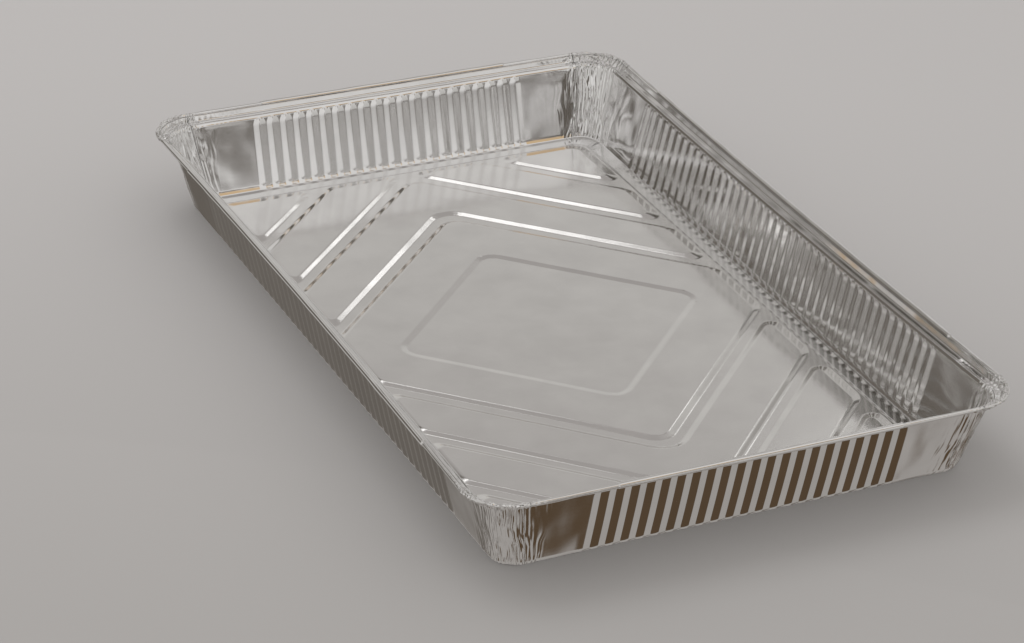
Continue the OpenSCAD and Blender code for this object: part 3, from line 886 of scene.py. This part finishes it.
class TIN_OT_base(bpy.types.Operator):
    """Builds the embossed base"""

    bl_idname = "tin.base"
    bl_label = "Base"

    def execute(self, context):
        shape, finish, sheet = present(context)
        points, normals = base_grid(sheet)
        satin = foil_material("satin_foil", finish.base_foil, finish.base_roughness, finish)
        add_piece("base", "base_panel", satin, points, normals, shape.foil)
        return {"FINISHED"}


class TIN_OT_walls(bpy.types.Operator):
    """Builds the fluted walls and their pleated corners"""

    bl_idname = "tin.walls"
    bl_label = "Walls and corners"

    def execute(self, context):
        shape, finish, sheet = present(context)
        points, normals, ledge_row = sheet.band()
        wall = foil_material("drawn_foil", finish.wall_foil, finish.wall_roughness, finish)
        corner = foil_material("crumpled_foil", finish.corner_foil, finish.corner_roughness, finish)
        ring_pieces(
            sheet, points[ledge_row:], normals[ledge_row:], shape.foil,
            ("side_", "wall_", "wall_foil", wall), ("pleats_", "corner_", "corner_foil", corner),
        )
        return {"FINISHED"}


class TIN_OT_ledges(bpy.types.Operator):
    """Builds the ledge and its collar all round the mouth"""

    bl_idname = "tin.ledges"
    bl_label = "Ledges"

    def execute(self, context):
        shape, finish, sheet = present(context)
        points, normals, ledge_row = sheet.band()
        rim = foil_material("rim_foil", finish.rim_foil, finish.rim_roughness, finish)
        ring_pieces(
            sheet, points[:ledge_row + 1], normals[:ledge_row + 1], shape.foil,
            ("rim_", "ledge_", "rim_foil", rim), ("rim_", "ledge_corner_", "rim_foil", rim),
        )
        return {"FINISHED"}


class TIN_OT_beads(bpy.types.Operator):
    """Builds the rolled edge all round the mouth"""

    bl_idname = "tin.beads"
    bl_label = "Rolled edge"

    def execute(self, context):
        shape, finish, sheet = present(context)
        points, normals = sheet.roll()
        rolled = foil_material("rolled_foil", finish.bead_foil, finish.rim_roughness, finish)
        ring_pieces(
            sheet, points, normals, shape.bead_wall,
            ("roll_", "bead_", "bead_foil", rolled), ("roll_", "bead_corner_", "bead_foil", rolled),
        )
        return {"FINISHED"}


def add_camera(studio):
    """The camera at the photographed view."""
    camera = bpy.data.objects.new("camera", bpy.data.cameras.new("camera"))
    camera.data.lens = studio.lens
    camera.data.sensor_width = 36.0
    camera.data.clip_end = 50.0
    flat = math.cos(studio.elevation)
    towards = Vector((
        math.cos(studio.bearing) * flat, math.sin(studio.bearing) * flat, math.sin(studio.elevation),
    ))
    camera.location = Vector(studio.aim) + towards * studio.camera_distance
    look = (-towards).to_track_quat("-Z", "Y").to_matrix()
    camera.rotation_euler = (look @ Matrix.Rotation(studio.roll, 3, "Z")).to_euler()
    bpy.context.scene.collection.objects.link(camera)
    bpy.context.scene.camera = camera


def sky_point(azimuth, elevation):
    """Unit vector towards a direction given in degrees."""
    turn, climb = math.radians(azimuth), math.radians(elevation)
    return Vector((math.cos(climb) * math.cos(turn), math.cos(climb) * math.sin(turn), math.sin(climb)))


def add_lamp(name, azimuth, elevation, away, tilt, size, radiance):
    """A soft oval lamp that faces the tin. tilt turns its long side from level, in degrees."""
    back = sky_point(azimuth, elevation)
    side = Vector((0, 0, 1)).cross(back).normalized()
    along = side * math.cos(math.radians(tilt)) + back.cross(side) * math.sin(math.radians(tilt))
    lamp = bpy.data.lights.new(name, "AREA")
    lamp.shape = "ELLIPSE"
    lamp.size, lamp.size_y = size
    # The power that gives a lamp of this area that radiance
    lamp.energy = radiance * math.pi ** 2 * size[0] * size[1] / 4
    made = bpy.data.objects.new(name, lamp)
    made.location = back * away
    made.rotation_euler = Matrix((along, back.cross(along), back)).transposed().to_euler()
    bpy.context.scene.collection.objects.link(made)
    return made


def reach_mask(recipe, place, azimuth, elevation, low, high):
    """0 where a place reaches less than low along a direction, 1 beyond high, and a soft rise between."""
    reach = recipe.node("ShaderNodeVectorMath", {"operation": "DOT_PRODUCT"}, {
        0: place, 1: sky_point(azimuth, elevation)}, "Value")
    return recipe.node("ShaderNodeMapRange", {"interpolation_type": "SMOOTHSTEP"}, {
        "Value": reach, "From Min": low, "From Max": high})


def add_room(studio):
    """The room that the foil mirrors: a pale backdrop, and the darker and brighter parts round it."""
    world = bpy.data.worlds.new("room")
    bpy.context.scene.world = world
    recipe = Recipe(world)
    way = recipe.node("ShaderNodeTexCoord", output="Generated")
    room = rgba(studio.backdrop)
    # Each patch's direction, radius and faded radius in degrees, and its colour
    for azimuth, elevation, inner, outer, tint in (
        (348, 45, 34, 62, studio.bright),
        (158, 50, 14, 27, studio.upper),
        (150, 83, 15, 23, studio.upper),
        (220, 11, 17, 26, studio.shade),
        (193, 43, 3.5, 8, studio.dim),
        (213, 49, 5, 10.5, studio.dim),
        (176, 41, 3.5, 8.5, studio.shade),
        (116, 26, 10, 14, studio.shade),
        (28, 24, 6, 12, studio.brown),
        (28, 38, 4, 9, studio.warm),
        (336, 40, 13, 26, studio.dark),
        (339, 18, 8, 17, studio.dark),
        (12, -6, 8, 18, studio.dark),
        (0, -90, 50, 72, studio.under),
        (182, -23, 9, 18, studio.dark),
        (115, -45, 4, 22, studio.shade),
        (205, -45, 4, 22, studio.shade),
        (295, -45, 4, 22, studio.shade),
        # Painted shade: a dark patch below the front stands in for the shaded floor that the front wall
        # mirrors.
        (24, -58, 10, 17, studio.bronze_shade),
    ):
        edges = math.cos(math.radians(outer)), math.cos(math.radians(inner))
        room = recipe.mix(reach_mask(recipe, way, azimuth, elevation, *edges), room, rgba(tint))
    mirrored = recipe.node("ShaderNodeBackground", None, {"Color": room, "Strength": 1.0})
    lit = recipe.node("ShaderNodeBackground", None, {"Color": rgba(studio.backdrop), "Strength": ROOM_LIGHT})
    diffuse = recipe.node("ShaderNodeLightPath", output="Is Diffuse Ray")
    both = recipe.node("ShaderNodeMixShader", None, {0: diffuse, 1: mirrored, 2: lit})
    recipe.node("ShaderNodeOutputWorld", None, {"Surface": both})


class TIN_OT_studio(bpy.types.Operator):
    """Builds the camera, the floor, the backdrop and the lamps"""

    bl_idname = "tin.studio"
    bl_label = "Studio"

    def execute(self, context):
        studio = context.scene.tin_studio
        add_camera(studio)
        bpy.ops.mesh.primitive_circle_add(vertices=96, radius=6.0, fill_type="NGON", location=(0, 0, 0))
        floor = context.active_object
        floor.name = "floor"
        material = bpy.data.materials.new("paper")
        recipe = Recipe(material)
        place = recipe.node("ShaderNodeTexCoord", output="Object")
        # Painted shade: the floor is painted darker towards the camera.
        near = reach_mask(recipe, place, azimuth=330, elevation=0, low=-0.25, high=0.35)
        paper = recipe.node("ShaderNodeBsdfPrincipled", None, {
            "Base Color": recipe.mix(near, rgba(studio.floor), rgba(studio.near_floor_shade)),
            "Roughness": 0.9, "Specular IOR Level": 0.2})
        recipe.node("ShaderNodeOutputMaterial", None, {"Surface": paper})
        floor.data.materials.append(material)
        floor.visible_glossy = False
        add_room(studio)
        # Azimuth and elevation in degrees, distance, tilt in degrees, size, and radiance
        add_lamp("window", 141.1, 34.0, 1.462, 0.0, (0.165, 0.1), 1.0)
        add_lamp("softbox", 174.3, 53.1, 1.447, -20.0, (0.44, 0.15), 1.0)
        overhead = add_lamp("overhead", 205.0, 62.0, 1.9, 0.0, (1.2, 1.0), 1.8)
        overhead.visible_glossy = False
        context.scene.view_settings.view_transform = "Standard"
        return {"FINISHED"}


class TIN_PT_panel(bpy.types.Panel):
    """Lists the tin's pieces in the sidebar"""

    bl_idname = "TIN_PT_panel"
    bl_label = "Traybake Tin"
    bl_space_type = "VIEW_3D"
    bl_region_type = "UI"
    bl_category = "Tin"

    def draw(self, context):
        for operator in OPERATORS:
            self.layout.operator(operator.bl_idname)


OPERATORS = (TIN_OT_studio, TIN_OT_base, TIN_OT_walls, TIN_OT_ledges, TIN_OT_beads)
GROUPS = {"tin_shape": TinShape, "tin_wear": TinWear, "tin_finish": TinFinish, "tin_studio": TinStudio}


def register():
    for made in (*GROUPS.values(), *OPERATORS, TIN_PT_panel):
        bpy.utils.register_class(made)
    for name, group in GROUPS.items():
        setattr(bpy.types.Scene, name, PointerProperty(type=group))


def unregister():
    for name in GROUPS:
        delattr(bpy.types.Scene, name)
    for made in (TIN_PT_panel, *OPERATORS, *GROUPS.values()):
        bpy.utils.unregister_class(made)


def main():
    register()
    bpy.ops.tin.studio()
    bpy.ops.tin.base()
    bpy.ops.tin.walls()
    bpy.ops.tin.ledges()
    bpy.ops.tin.beads()


if __name__ == "__main__":
    main()
